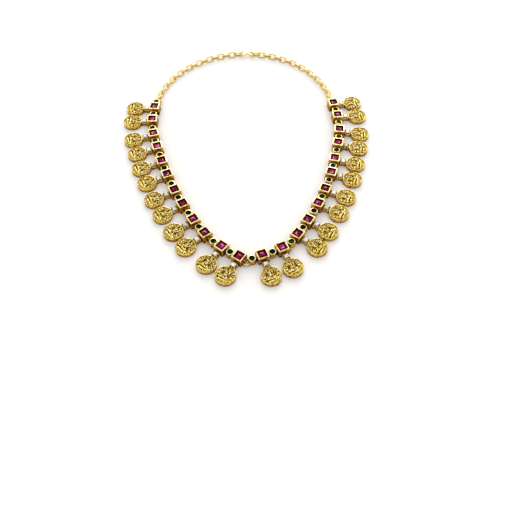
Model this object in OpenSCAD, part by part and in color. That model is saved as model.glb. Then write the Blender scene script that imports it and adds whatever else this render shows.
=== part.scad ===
// A short temple necklace of cast gold links, lying in a loop on a table.
// Twelve equal links carry two square red stones, two round green stones and two coin drops each.
// A plain cable chain and a hook close the loop behind the neck.
// The loop is centred on its own outline, with +Z up and Z = 0 on the table.

/* [Square boxes] */
// Outer width of a square box
box_w = 6.2; // [5.8:0.1:6.8]
// Height of a square box
box_h = 5.2; // [5.0:0.1:6.0]
// Wall of a box around its red stone
box_wall = 0.6; // [0.5:0.02:0.7]
// Metal between the red stone and the hollow back
seat_t = 0.95; // [0.8:0.05:1.0]

/* [Round cups] */
// Outer diameter of a round cup
cup_d = 4.4; // [4.0:0.1:4.8]
// Height of a round cup
cup_h = 3.9; // [3.5:0.1:4.5]
// Wall of a cup around its green stone
cup_wall = 0.5; // [0.4:0.05:0.65]
// Bevel round the foot of a cup
cup_bevel = 0.35; // [0.1:0.05:0.6]

/* [Stones] */
// Height of a red stone
red_h = 1.5; // [1.2:0.1:1.6]
// Depth of the red stone's table below the box rim
red_recess = 0.5; // [0.3:0.05:0.7]
// Height of a green stone
green_h = 1.3; // [1.0:0.1:1.6]
// Depth of the green stone's table below the cup rim
green_recess = 0.2; // [0:0.05:0.4]
// Diameter of a white stone
white_d = 2.7; // [2.4:0.1:2.9]
// Height of a white stone
white_h = 1.2; // [1.0:0.1:1.4]
// Gap left round every stone
stone_gap = 0.06; // [0.04:0.01:0.1]

/* [Claw baskets] */
// Width of a claw basket without its claws
basket_w = 2.8; // [2.6:0.1:3.1]
// Height of a claw basket
basket_h = 2.7; // [2.4:0.1:3.0]
// Diameter of a claw
claw_d = 0.8; // [0.6:0.05:0.9]
// Rise of a claw above the basket
claw_rise = 0.8; // [0.5:0.05:0.9]
// How far a claw stands in from the basket's corner
claw_inset = 0.05; // [0:0.01:0.1]
// Dark gap between a box and its basket
basket_gap = 0.4; // [0.3:0.05:0.8]
// Width of the bar that joins box, basket and coin
stem_w = 1.8; // [1.2:0.1:2.2]
// Height of that bar
stem_h = 1.7; // [1.2:0.1:2.0]
// Level of that bar's underside
stem_z = 0.4; // [0.2:0.1:0.6]

/* [Coins] */
// Diameter of a coin
coin_d = 11.2; // [10:0.1:12.6]
// Thickness of a coin at its rim
coin_t = 2.5; // [2.2:0.1:3.0]
// Width of the raised rim
rim_w = 0.45; // [0.3:0.05:0.7]
// Depth of the coin's field below the rim
field_drop = 0.5; // [0.3:0.05:0.6]
// Rise of the figure above the field
relief_h = 0.65; // [0.4:0.05:0.8]
// Gap between a basket and its coin
coin_gap = 0.2; // [0.1:0.05:0.6]
// Free space between the two coins of a link
coin_clear = 0.44; // [0.24:0.04:1.0]

/* [Hinges] */
// Bore of the flat eyelet on each link's first cup
eye_bore = 2.8; // [2.5:0.1:3.0]
// Width of the eyelet's band
eye_band = 0.9; // [0.7:0.05:1.0]
// Height of the eyelet's band
eye_h = 1.0; // [0.8:0.05:1.05]
// Distance from a cup's wall to the middle of its eyelet
eye_out = 1.1; // [1.0:0.05:1.4]
// Thickness of the hook that runs through the eyelet
hook_d = 0.8; // [0.6:0.05:0.9]
// Distance from a box's wall to the middle of its hook
hook_out = 0.6; // [0.6:0.05:0.9]
// Clear space kept between moving pieces
play = 0.15; // [0.12:0.01:0.2]
// Bend of each casting from its first cup to its last box, in degrees
link_bend = 5.6; // [0:0.2:8]

/* [Solder] */
// Width of the bridge between two settings
bridge_w = 1.8; // [1.4:0.1:2.4]
// Height of that bridge
bridge_h = 1.9; // [1.4:0.1:2.2]
// Level of that bridge's underside
bridge_z = 0.6; // [0.4:0.1:0.8]
// Least length of that bridge
bridge_min = 0.3; // [0.2:0.05:0.5]
// How far soldered pieces run into each other
sink = 0.3; // [0.2:0.02:0.35]

/* [Back chain] */
// Wire of the chain links
wire_d = 0.9; // [0.8:0.05:1.0]
// Outer length of a chain link
chain_l = 6.2; // [5.8:0.1:6.8]
// Outer width of a chain link
chain_w = 3.8; // [3.6:0.1:4.2]

/* [Hook clasp] */
// Wire of the clasp
clasp_d = 1.1; // [0.9:0.05:1.2]
// Inner diameter of the clasp's closed eye
clasp_eye = 2.4; // [2.2:0.1:3.0]
// Inner diameter of the clasp's open hook
clasp_hook = 3.0; // [2.6:0.1:3.6]
// Straight length between eye and hook
clasp_shank = 2.5; // [1.5:0.1:4]

/* [Hidden] */
LINKS = 12;
// The lay of the links on the table, one row for each hinge from left to right.
// Columns: turn to the left in degrees, and how far the hinge is pulled apart as a share of its play.
TURN = 0;
PULL = 1;
ROUTE = [
    [13, 0.3], [-1, -0.2], [0.5, 0.55], [2.5, 0.3], [13.5, 0.3], [53.5, 0.8],
    [28, -0.2], [3.5, 0.65], [3.5, 0.8], [-0.5, 0.55], [12, 0.3],
];
first_heading = -96;

box_r = box_w / 2;
cup_r = cup_d / 2;
coin_r = coin_d / 2;
hook_r = hook_d / 2;
eye_r = eye_bore / 2;
wire_r = wire_d / 2;
clasp_r = clasp_d / 2;

// Distances along a link and out to its drops
pitch = max((coin_d + coin_clear) / 2, box_r + cup_r + bridge_min);
claw_at = basket_w / 2 - claw_inset;
basket_r = claw_at + claw_d / 2;
basket_at = box_r + basket_gap + basket_r;
coin_at = basket_at + basket_r + coin_gap + coin_r;
eye_at = cup_r + eye_out;
hook_at = box_r + hook_out;
hinge_room = eye_r - hook_r - play;

// Levels in a box, from the table up
seat_z = box_h - red_recess - red_h - stone_gap;
hollow_h = seat_z - seat_t;
eye_z = hollow_h - play - eye_h;
sill_h = eye_z - play;

// Seat of a white stone, so that its table is level with the claws
white_z = basket_h + claw_rise - white_h;

// Chain links lie rolled to either side, and the clasp lies level with their middles
chain_turn_r = (chain_w - wire_d) / 2;
chain_straight = (chain_l - chain_w) / 2;
lean = 45;
steep = 60;
chain_z = chain_turn_r * sin(lean) + wire_r;
steep_z = chain_turn_r * sin(steep) + wire_r;
flat_z = eye_z + eye_h / 2;
end_reach = chain_l / 2 - wire_r;
clasp_eye_r = (clasp_eye + clasp_d) / 2;
clasp_hook_r = (clasp_hook + clasp_d) / 2;

fine = 48;
small = 24;

// Cutters run past what they cut by this much
over = 1;

function two(n) = n < 10 ? str("0", n) : str(n);
LINK_NODES = [for (i = [1:LINKS]) str("link_", two(i))];
RUBY_NODES = [for (i = [1:2 * LINKS]) str("ruby_", two(i))];

// Places along the loop
function aim(a) = [cos(a), sin(a)];

// Headings of a link's four stations: cup, box, cup, box
STATION_TURN = [0, 0.25, 0.5, 1] * link_bend;
// Middles of the four stations, counted from the first cup
STATION = [
    [0, 0],
    pitch * aim(0),
    pitch * (aim(0) + aim(link_bend / 2)),
    pitch * (aim(0) + aim(link_bend / 2) + aim(link_bend)),
];

function turned(v, a) = [v[0] * cos(a) - v[1] * sin(a), v[0] * sin(a) + v[1] * cos(a)];

// Place of the next link, [x, y, heading], from the last one
function next_link(at, row) =
    let (
        out = at[2] + link_bend,
        into = out + row[TURN],
        last_box = [at[0], at[1]] + turned(STATION[3], at[2]),
        hook = last_box + hook_at * aim(out),
        eye = hook + row[PULL] * hinge_room * aim((out + into) / 2),
        cup = eye + eye_at * aim(into)
    )
    [cup[0], cup[1], into];

function lay(i) = i == 0 ? [[0, 0, first_heading]]
    : let (before = lay(i - 1)) concat(before, [next_link(before[i - 1], ROUTE[i - 1])]);
LAID = lay(LINKS - 1);

// The hidden stretch runs on a circle from the last link's hook to the first link's eyelet
last = LAID[LINKS - 1];
arc_from = [last[0], last[1]] + turned(STATION[3], last[2]) + hook_at * aim(last[2] + link_bend);
arc_to = [0, 0] - eye_at * aim(first_heading);
arc_turn = 360 + first_heading - last[2] - link_bend;
arc_chord = arc_to - arc_from;
arc_r = norm(arc_chord) / (2 * sin(arc_turn / 2));
arc_mid = (arc_from + arc_to) / 2
    + arc_r * cos(arc_turn / 2) * [-arc_chord[1], arc_chord[0]] / norm(arc_chord);
arc_start = atan2(arc_from[1] - arc_mid[1], arc_from[0] - arc_mid[0]);
arc_length = arc_r * arc_turn * PI / 180;
function along(s) = arc_start + s / arc_r * 180 / PI;

// Places along that circle: the clasp in its middle, then the ends of each side's chain
pitch_max = 2 * end_reach - wire_d - 2 * play;
clasp_span = clasp_eye_r + clasp_shank + clasp_hook_r;
eye_s = (arc_length - clasp_span) / 2;
hook_s = (arc_length + clasp_span) / 2;
grip = wire_r + clasp_r + 2 * play;
right_flat = end_reach - wire_r - hook_r - play;
right_first = right_flat + pitch_max - 3 * play;
right_last = eye_s - clasp_eye_r + grip - end_reach;
left_first = end_reach;
left_last = arc_length - hook_s - clasp_hook_r + grip - end_reach;

// Place on the clasp's own straight line, counted from its middle
clasp_turn = along(arc_length / 2);
function on_clasp(s) = arc_mid + arc_r * aim(clasp_turn) + s * aim(clasp_turn + 90);

// Outline of the loop, for its middle
DROPS = [for (at = LAID, k = [1, 3])
    [at[0], at[1]] + turned(STATION[k], at[2]) + coin_at * aim(at[2] + STATION_TURN[k] - 90)];
low_x = min([for (p = DROPS) p[0]]) - coin_r;
high_x = max([for (p = DROPS) p[0]]) + coin_r;
low_y = min([for (p = DROPS) p[1]]) - coin_r;
high_y = max(
    on_clasp(-clasp_span / 2)[1] + clasp_eye_r + clasp_r,
    on_clasp(clasp_span / 2)[1] + clasp_hook_r + clasp_r
);
centre = [(low_x + high_x) / 2, (low_y + high_y) / 2];

module at_link(i) {
    translate([LAID[i][0] - centre[0], LAID[i][1] - centre[1], 0]) rotate(LAID[i][2]) children();
}

module at_station(k) {
    translate([STATION[k][0], STATION[k][1], 0]) rotate(STATION_TURN[k]) children();
}

// Square box with a pocket for the red stone and a hollow back
module square_box() {
    pocket = box_w - 2 * box_wall;
    difference() {
        translate([-box_r, -box_r, 0]) cube([box_w, box_w, box_h]);
        translate([-pocket / 2, -pocket / 2, seat_z]) cube([pocket, pocket, box_h]);
        translate([-pocket / 2, -pocket / 2, -over]) cube([pocket, pocket, hollow_h + over]);
    }
}

// Slot in a box's end wall, where the next link's eyelet swings in
module eyelet_slot() {
    reach = eye_r + eye_band + play;
    translate([0, -reach, sill_h]) cube([box_r + over, 2 * reach, hollow_h - sill_h]);
}

// Hook across the slot: a post with an arm at either end
module hinge_hook() {
    arm_from = box_r - sink;
    top_z = hollow_h + hook_r;
    for (z = [hook_r, top_z])
        translate([arm_from, 0, z]) rotate([0, 90, 0])
            cylinder(d = hook_d, h = hook_at - arm_from, $fn = small);
    translate([hook_at, 0, 0]) cylinder(d = hook_d, h = top_z + hook_r, $fn = small);
}

module round_cup() {
    difference() {
        union() {
            cylinder(r1 = cup_r - cup_bevel, r2 = cup_r, h = cup_bevel, $fn = fine);
            translate([0, 0, cup_bevel]) cylinder(d = cup_d, h = cup_h - cup_bevel, $fn = fine);
        }
        translate([0, 0, cup_h - green_recess - green_h - stone_gap])
            cylinder(r = cup_r - cup_wall, h = green_h + over, $fn = fine);
    }
}

module eyelet() {
    translate([-eye_at, 0, eye_z]) difference() {
        cylinder(r = eye_r + eye_band, h = eye_h, $fn = fine);
        translate([0, 0, -over]) cylinder(d = eye_bore, h = eye_h + 2 * over, $fn = fine);
    }
}

// Solder bridge from one station to the next
module bridge(k) {
    from = STATION[k];
    way = STATION[k + 1] - from;
    cup_first = k % 2 == 0;
    start = (cup_first ? cup_r : box_r) - sink;
    stop = norm(way) - (cup_first ? box_r : cup_r) + sink;
    translate([from[0], from[1], bridge_z]) rotate(atan2(way[1], way[0]))
        translate([start, -bridge_w / 2, 0]) cube([stop - start, bridge_w, bridge_h]);
}

// Basket with four claws for a white stone, soldered between its box and its coin
module claw_basket() {
    translate([0, -basket_at, 0]) {
        difference() {
            translate([-basket_w / 2, -basket_w / 2, 0]) cube([basket_w, basket_w, basket_h]);
            translate([0, 0, white_z]) cylinder(r = white_d / 2 + stone_gap, h = white_h, $fn = small);
        }
        for (x = [-claw_at, claw_at], y = [-claw_at, claw_at])
            translate([x, y, 0]) difference() {
                cylinder(d = claw_d, h = basket_h + claw_rise, $fn = small);
                translate([-x, -y, white_z])
                    cylinder(r = white_d / 2 + stone_gap, h = white_h + over, $fn = small);
            }
    }
    translate([-stem_w / 2, coin_r - sink - coin_at, stem_z])
        cube([stem_w, coin_at - coin_r + 2 * sink - box_r, stem_h]);
}

// Cast figure on the coin: a crowned goddess seated on a lotus between two elephants.
// Columns: sideways place, upward place, radius and top, as shares of the field and of the relief.
FIGURE_ONE = [
    [0, 0.35, 0.15, 1.0], // head
    [0, 0.55, 0.1, 0.8], // crown
    [0, 0.02, 0.22, 0.9], // body
    [0, -0.34, 0.16, 0.7], // feet
];
// The same columns, for what stands on both sides
FIGURE_TWO = [
    [0.33, 0.24, 0.13, 0.75], // raised hand with a bud
    [0.36, -0.3, 0.19, 0.85], // knee
    [0.72, 0.02, 0.16, 0.7], // elephant
    [0.66, 0.29, 0.1, 0.6], // its head
];
PETALS = 5;
petal_step = 18;
RAYS = 7;
ray_step = 20;

// A dome is the cap of a ball, carried down a little into the coin
module dome(row, field_r, side) {
    top = relief_h * row[3];
    r = field_r * row[2];
    ball = (r * r + top * top) / (2 * top);
    translate([side * field_r * row[0], field_r * row[1], 0])
        rotate_extrude($fn = small) intersection() {
            translate([0, top - ball]) circle(r = ball, $fn = fine);
            translate([0, -sink]) square([r, top + sink]);
        }
}

module figure(field_r) {
    for (row = FIGURE_ONE) dome(row, field_r, 1);
    for (row = FIGURE_TWO, side = [-1, 1]) dome(row, field_r, side);
    for (k = [0:PETALS - 1]) let (a = 270 + (k - (PETALS - 1) / 2) * petal_step)
        dome([0.8 * cos(a), 0.8 * sin(a), 0.12, 0.6], field_r, 1);
    bar_w = 0.08 * field_r;
    bar_h = 0.45 * relief_h + sink;
    translate([-0.5 * field_r, -0.6 * field_r, -sink]) cube([field_r, bar_w, bar_h]);
    for (k = [0:RAYS - 1]) rotate((k - (RAYS - 1) / 2) * ray_step)
        translate([-bar_w / 2, 0.7 * field_r, -sink]) cube([bar_w, 0.24 * field_r, bar_h]);
}

module coin() {
    field_z = coin_t - field_drop;
    field_r = coin_r - rim_w;
    difference() {
        cylinder(r = coin_r, h = coin_t, $fn = fine);
        translate([0, 0, field_z]) cylinder(r = field_r, h = coin_t, $fn = fine);
    }
    translate([0, 0, field_z]) figure(field_r);
}

// One casting: everything soldered, from the eyelet to the hook
module link(i) {
    color("goldenrod") at_link(i) {
        at_station(0) {
            round_cup();
            difference() {
                eyelet();
                cylinder(r = cup_r - sink, h = cup_h, $fn = fine);
            }
        }
        at_station(1) square_box();
        at_station(2) round_cup();
        at_station(3) {
            difference() {
                square_box();
                eyelet_slot();
            }
            hinge_hook();
        }
        for (k = [0:2]) bridge(k);
        for (k = [1, 3]) at_station(k) {
            claw_basket();
            translate([0, -coin_at, 0]) coin();
        }
    }
}

// Cut stone as rings of corners, each row [level, radius to a corner], under a flat table
module cut_stone(rows, sides, first) {
    n = len(rows);
    polyhedron(
        points = [for (row = rows, k = [0:sides - 1])
            [row[1] * cos(first + k * 360 / sides), row[1] * sin(first + k * 360 / sides), row[0]]],
        faces = concat(
            [[for (k = [0:sides - 1]) k]],
            [[for (k = [sides - 1:-1:0]) (n - 1) * sides + k]],
            [for (j = [0:n - 2], k = [0:sides - 1]) let (m = (k + 1) % sides)
                [j * sides + k, (j + 1) * sides + k, (j + 1) * sides + m, j * sides + m]]
        )
    );
}

module ruby(j) {
    half = box_r - box_wall - stone_gap;
    corner = half * sqrt(2);
    color("mediumvioletred") at_link(floor(j / 2)) at_station(j % 2 == 0 ? 1 : 3)
        translate([0, 0, seat_z + stone_gap]) cut_stone([
            [0, 0.3 * corner],
            [0.55 * red_h, corner],
            [0.65 * red_h, corner],
            [0.88 * red_h, 0.8 * corner],
            [red_h, 0.58 * corner],
        ], 4, 45);
}

module emeralds() {
    r = cup_r - cup_wall - stone_gap;
    color("darkgreen") for (i = [0:LINKS - 1], k = [0, 2]) at_link(i) at_station(k)
        translate([0, 0, cup_h - green_recess - green_h]) cut_stone([
            [0, 0.2 * r],
            [0.6 * green_h, r],
            [0.7 * green_h, r],
            [green_h, 0.62 * r],
        ], 10, 0);
}

module white_stones() {
    r = white_d / 2;
    color("white") for (i = [0:LINKS - 1], k = [1, 3]) at_link(i) at_station(k)
        translate([0, -basket_at, white_z + stone_gap]) cut_stone([
            [0, 0.2 * r],
            [0.5 * white_h, r],
            [0.58 * white_h, r],
            [white_h, 0.6 * r],
        ], 10, 0);
}

// Places of one side's chain links, no further apart than their inner length lets them be
function spread(first, stop) =
    let (n = ceil((stop - first) / pitch_max))
    [for (k = [0:n]) first + k * (stop - first) / n];

module on_arc(s, z) {
    translate([arc_mid[0] - centre[0], arc_mid[1] - centre[1], z]) rotate(along(s))
        translate([arc_r, 0, 0]) rotate(90) children();
}

module chain_link() {
    for (side = [-1, 1]) {
        translate([side * chain_straight, 0, 0]) rotate(-side * 90)
            rotate_extrude(angle = 180, $fn = small)
                translate([chain_turn_r, 0]) circle(r = wire_r, $fn = small);
        translate([-chain_straight, side * chain_turn_r, 0]) rotate([0, 90, 0])
            cylinder(r = wire_r, h = 2 * chain_straight, $fn = small);
    }
}

// A run of links rolled to one side and the other, steeper at its two ends
module chain_run(places) {
    stop = len(places) - 1;
    for (k = [0:stop]) {
        at_end = k == 0 || k == stop;
        side = k % 2 == 0 ? 1 : -1;
        on_arc(places[k], at_end ? steep_z : chain_z)
            rotate([side * (at_end ? steep : lean), 0, 0]) chain_link();
    }
}

module back_chain_right() {
    color("gold") {
        on_arc(right_flat, flat_z) chain_link();
        chain_run(spread(right_first, right_last));
    }
}

module back_chain_left() {
    color("gold") chain_run([for (s = spread(left_first, left_last)) arc_length - s]);
}

// Plain clasp in one piece: a closed eye for the right chain and an open hook for the left
module hook_clasp() {
    hook_sweep = 285;
    color("gold") on_arc(arc_length / 2, steep_z) {
        translate([-clasp_span / 2, 0, 0]) rotate_extrude($fn = fine)
            translate([clasp_eye_r, 0]) circle(d = clasp_d, $fn = small);
        translate([-clasp_span / 2 + clasp_eye_r, 0, 0]) rotate([0, 90, 0])
            cylinder(d = clasp_d, h = clasp_shank, $fn = small);
        translate([clasp_span / 2, 0, 0]) rotate(180 - hook_sweep)
            rotate_extrude(angle = hook_sweep, $fn = fine)
                translate([clasp_hook_r, 0]) circle(d = clasp_d, $fn = small);
    }
}

for (i = [0:LINKS - 1]) link(i);
for (j = [0:2 * LINKS - 1]) ruby(j);
emeralds();
white_stones();
back_chain_right();
back_chain_left();
hook_clasp();
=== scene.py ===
"""A short temple necklace of cast gold links, lying in a loop on a pale table.

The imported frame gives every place: each ruby says where its box stands and which way it faces, and the
cups, claw baskets and coins follow from that. Lengths named here are in millimetres and angles in
degrees, and MM turns the lengths into the frame's metres.
"""

import math

import bpy
import numpy as np
from mathutils import Matrix, Vector

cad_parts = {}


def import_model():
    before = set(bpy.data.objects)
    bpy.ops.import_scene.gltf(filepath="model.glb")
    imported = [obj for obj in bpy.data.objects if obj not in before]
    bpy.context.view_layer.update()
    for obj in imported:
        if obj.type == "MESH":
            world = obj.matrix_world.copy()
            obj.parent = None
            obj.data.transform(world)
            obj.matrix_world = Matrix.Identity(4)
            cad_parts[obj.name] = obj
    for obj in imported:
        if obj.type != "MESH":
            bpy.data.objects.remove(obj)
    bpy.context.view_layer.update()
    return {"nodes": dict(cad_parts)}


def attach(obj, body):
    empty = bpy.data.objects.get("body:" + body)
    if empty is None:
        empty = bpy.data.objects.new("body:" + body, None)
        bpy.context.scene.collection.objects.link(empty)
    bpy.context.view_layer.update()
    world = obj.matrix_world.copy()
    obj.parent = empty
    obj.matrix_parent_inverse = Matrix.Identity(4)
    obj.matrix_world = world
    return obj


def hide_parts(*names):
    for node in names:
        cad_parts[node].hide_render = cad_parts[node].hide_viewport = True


MM = 0.001
LINKS = 12

# Faces that meet at a larger angle than this are shaded with a sharp edge between them
EDGE_ANGLE = 38
CHAIN_EDGE_ANGLE = 50

# Sides of what is round: cups and eyelets, claws, hooks
ROUND_SIDES = 40
CLAW_SIDES = 12
HOOK_SIDES = 14

# Steps round each corner of a square with round corners
CORNER_STEPS = 3

# The small face that closes each end of a shell: half its width if it is square, its radius if round
SQUARE_CAP = 0.3
ROUND_CAP = 0.05

# Stones
STONE_GAP = 0.06
RUBY_H = 1.5
RUBY_RECESS = 0.5
EMERALD_H = 1.3
EMERALD_RECESS = 0.2
WHITE_R = 1.35
WHITE_H = 1.2

# Square boxes
BOX_W = 6.2
BOX_H = 5.2
BOX_WALL = 0.6
BOX_FLOOR = 0.95
BOX_SEAT_Z = BOX_H - RUBY_RECESS - RUBY_H - STONE_GAP
BOX_HOLLOW_H = BOX_SEAT_Z - BOX_FLOOR
BOX_SOFT = 0.12
BOX_CORNER = 0.22
BOX_TIGHT = 0.1
BOX_LIP = 0.12
# Painted shade on a box's wall at several levels, from its foot up: darker toward the foot
BOX_SHADES = [(0.1, 1.0), (0.9, 0.66), (2.2, 0.44), (BOX_H - 0.7, 0.36)]

# Round cups
CUP_R = 2.2
CUP_H = 3.9
CUP_WALL = 0.5
CUP_FOOT = 0.35
CUP_SEAT_Z = CUP_H - EMERALD_RECESS - EMERALD_H - STONE_GAP
CUP_SOFT = 0.12
CUP_LIP = 0.1
EMERALD_R = CUP_R - CUP_WALL - STONE_GAP

# Claw baskets
BASKET_W = 2.8
BASKET_CORNER = 0.15
PANEL_INSET = 0.15
CLAW_R = 0.4
CLAW_AT = 1.35
CLAW_H = 3.5
CLAW_TIP_H = 0.5
CLAW_LEAN = 0.42
BASKET_GAP = 0.4
BASKET_AT = BOX_W / 2 + BASKET_GAP + CLAW_AT + CLAW_R
WHITE_SEAT_Z = CLAW_H - WHITE_H
STEM_W = 1.8
STEM_LOW = 0.4
STEM_HIGH = 2.1
STEM_GRIME = 0.6

# Coins
COIN_R = 5.6
COIN_T = 2.5
COIN_SOFT = 0.1
COIN_GAP = 0.2
COIN_AT = BASKET_AT + CLAW_AT + CLAW_R + COIN_GAP + COIN_R
RIM_W = 0.45
FIELD_R = COIN_R - RIM_W
FIELD_Z = 2.0
RELIEF_H = 0.65
RELIEF_STEPS = 96
RELIEF_FADE = 0.04
PIT_DEPTH = 0.3

# Brown on a coin's field: a little everywhere, more in hollows and on the open floor, most in pits.
# Near the rim, from OUTER_FROM on, the hollows and the floor hold less of it.
FIELD_GRIME = 0.02
HOLLOW_SPREAD = 9
HOLLOW_GAIN = 3.4
HOLLOW_MOST = 0.7
FLOOR_GRIME = 0.3
FLOOR_GAIN = 1.4
PIT_GRIME = 0.8
OUTER_FROM = 0.6
OUTER_W = 0.3
OUTER_HOLLOW_LESS = 0.3
OUTER_FLOOR_LESS = 0.27

# Hinges
PLAY = 0.15
EYE_BORE_R = 1.4
EYE_BAND = 0.9
EYE_H = 1.0
EYE_SOFT = 0.2
EYE_OUT = 1.1
EYE_Z = BOX_HOLLOW_H - PLAY - EYE_H
EYE_AT = CUP_R + EYE_OUT
HOOK_R = 0.4
HOOK_BEND = 0.45
HOOK_BEND_STEPS = 6
HOOK_GRIP = 0.5
HOOK_GRIME = 0.3
HOOK_OUT = 0.6
HOOK_AT = BOX_W / 2 + HOOK_OUT
SLOT_Z = EYE_Z - PLAY

# Solder
BRIDGE_W = 1.8
BRIDGE_LOW = 0.6
BRIDGE_HIGH = 2.5
# Solder is painted darkest: painted shade in the low gaps between the stations
BRIDGE_SHADE = 1.0
BAR_SOFT = 0.18
SINK = 0.3

# The four stations of a link, and the turn of each as a share of the link's bend
CUP_STATIONS = (0, 2)
BOX_STATIONS = (1, 3)
STATION_TURNS = (0, 0.25, 0.5, 1)

# Camera, as the photograph was taken
CAMERA_AT = (8.66, -248.71, 251.54)
CAMERA_DOWN = 56.15
CAMERA_ROLL = 0.54
CAMERA_LENS = 39.1
SENSOR_W = 36.0

# Table, and how near and far the camera sees, in metres
TABLE_SIZE = 6
CLIP_NEAR = 0.01
CLIP_FAR = 20

# Light, as radiance round the table: an even tent overhead, whose horizon is bright behind the necklace
# and dim on the camera's side, and a window behind
TENT_GLOW = 1.09
NEAR_GLOW = 0.15
FAR_GLOW = 1.4
TENT_FULL_Z = 0.7
WINDOW_GLOW = 3.3
WINDOW_WAY = (0.03, 0.88, 0.46)
WINDOW_EDGE = 0.92
WINDOW_FADE = 0.04


# Shells: closed forms as arrays. A shell is (points, faces, darkness per point), from 0 on what is
# polished bare to 1 in what holds the brown of the antiquing; the same value also carries painted shade
# low on walls, in recesses, underneath and between parts.


def join(*shells):
    """Several shells as one."""
    points, faces, grime_and_shade = [], [], []
    count = 0
    for p, f, g in shells:
        points.append(p)
        faces += [tuple(k + count for k in face) for face in f]
        grime_and_shade.append(g)
        count += len(p)
    return np.vstack(points), faces, np.concatenate(grime_and_shade)


def moved(shell, x=0.0, y=0.0, z=0.0, turn=0.0):
    """The shell turned about Z and then shifted."""
    points, faces, grime_and_shade = shell
    c, s = math.cos(math.radians(turn)), math.sin(math.radians(turn))
    spin = np.array([[c, s, 0], [-s, c, 0], [0, 0, 1]])
    return points @ spin + np.array([x, y, z]), faces, grime_and_shade


def loft(rings, grime_and_shade):
    """A closed form through rings of equally many points, capped at both ends."""
    rings = np.asarray(rings, float)
    rows, n = rings.shape[:2]
    faces = [tuple(range(n - 1, -1, -1)), tuple((rows - 1) * n + k for k in range(n))]
    for r in range(rows - 1):
        for k in range(n):
            m = (k + 1) % n
            faces.append((r * n + k, r * n + m, (r + 1) * n + m, (r + 1) * n + k))
    return rings.reshape(-1, 3), faces, np.repeat(np.asarray(grime_and_shade, float), n)


def circle(radius, z, sides):
    """A level ring of points round Z."""
    angle = np.arange(sides) * 2 * math.pi / sides
    return np.stack([radius * np.cos(angle), radius * np.sin(angle), np.full(sides, z)], 1)


def rounded_square(half, corner, z):
    """A square with round corners, as a ring of points."""
    found = []
    for quarter in range(4):
        middle = math.pi / 2 * quarter + math.pi / 4
        reach = (half - corner) * math.sqrt(2)
        for k in range(CORNER_STEPS + 1):
            angle = math.pi / 2 * (quarter + k / CORNER_STEPS)
            found.append((reach * math.cos(middle) + corner * math.cos(angle),
                          reach * math.sin(middle) + corner * math.sin(angle), z))
    return np.array(found)


def square_loft(rows):
    """A square form lofted through (half width, corner's radius, level, grime and painted shade) rows."""
    return loft([rounded_square(h, c, z) for h, c, z, _ in rows], [g for _, _, _, g in rows])


def round_loft(rows, sides):
    """A round form lofted through (radius, level, grime and painted shade) rows."""
    return loft([circle(r, z, sides) for r, z, _ in rows], [g for _, _, g in rows])


def turned_ring(profile, sides):
    """A ring turned about Z from a closed profile of (radius, level, grime and painted shade) rows."""
    n = len(profile)
    points = np.vstack([circle(r, z, sides) for r, z, _ in profile])
    faces = []
    for row in range(n):
        after = (row + 1) % n
        for k in range(sides):
            m = (k + 1) % sides
            faces.append((row * sides + k, row * sides + m, after * sides + m, after * sides + k))
    return points, faces, np.repeat([float(g) for _, _, g in profile], sides)


def tube(path, radius, sides, grime_and_shade):
    """A round rod along a path that lies in the XZ plane."""
    path = np.asarray(path, float)
    along = np.gradient(path, axis=0)
    along /= np.linalg.norm(along, axis=1)[:, None]
    across = np.array([0.0, 1.0, 0.0])
    angle = np.arange(sides) * 2 * math.pi / sides
    rings = []
    for point, way in zip(path, along):
        up = np.cross(way, across)
        rings.append(point + radius * (np.cos(angle)[:, None] * across + np.sin(angle)[:, None] * up))
    return loft(rings, [grime_and_shade] * len(rings))


def bar(x0, x1, width, z0, z1, grime_and_shade):
    """A bar along X with rounded long edges."""
    half_w = width / 2
    half_h = (z1 - z0) / 2
    ring = []
    for quarter in range(4):
        cy = (half_w - BAR_SOFT) * (1, -1, -1, 1)[quarter]
        cz = (half_h - BAR_SOFT) * (1, 1, -1, -1)[quarter]
        for k in range(3):
            angle = math.pi / 2 * (quarter + k / 2)
            ring.append((cy + BAR_SOFT * math.cos(angle), cz + BAR_SOFT * math.sin(angle)))
    rings = [[(x, y, z + (z0 + z1) / 2) for y, z in ring] for x in (x0, x1)]
    return loft(rings, [grime_and_shade, grime_and_shade])


# Parts of a casting


def square_box():
    """A box whose wall stands round the stone and leans over its edge, with a hollow back."""
    half = BOX_W / 2
    inner = half - BOX_WALL
    wall = [(half, BOX_CORNER, level, grime_and_shade) for level, grime_and_shade in reversed(BOX_SHADES)]
    return square_loft([
        # half width, corner's radius, level, grime and painted shade, darkest in the pocket, the hollow
        # back and the foot
        (SQUARE_CAP, BOX_TIGHT, BOX_SEAT_Z, 1.0),
        (inner, BOX_TIGHT, BOX_SEAT_Z, 1.0),
        (inner, BOX_TIGHT, BOX_H - 0.4, 1.0),
        (inner - BOX_LIP, BOX_TIGHT, BOX_H - BOX_SOFT, 0.6),
        (inner - 0.5 * BOX_LIP, 0.12, BOX_H, 0.0),
        (half - BOX_SOFT, 0.16, BOX_H, 0.0),
        (half - 0.3 * BOX_SOFT, 0.2, BOX_H - 0.3 * BOX_SOFT, 0.0),
        (half, BOX_CORNER, BOX_H - BOX_SOFT, 0.15),
        *wall,
        (half - 0.1, 0.18, 0.0, 1.0),
        (inner + 0.1, BOX_TIGHT, 0.0, 0.9),
        (inner, BOX_TIGHT, 0.1, 0.9),
        (inner, BOX_TIGHT, BOX_HOLLOW_H, 1.0),
        (SQUARE_CAP, BOX_TIGHT, BOX_HOLLOW_H, 1.0),
    ])


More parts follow.
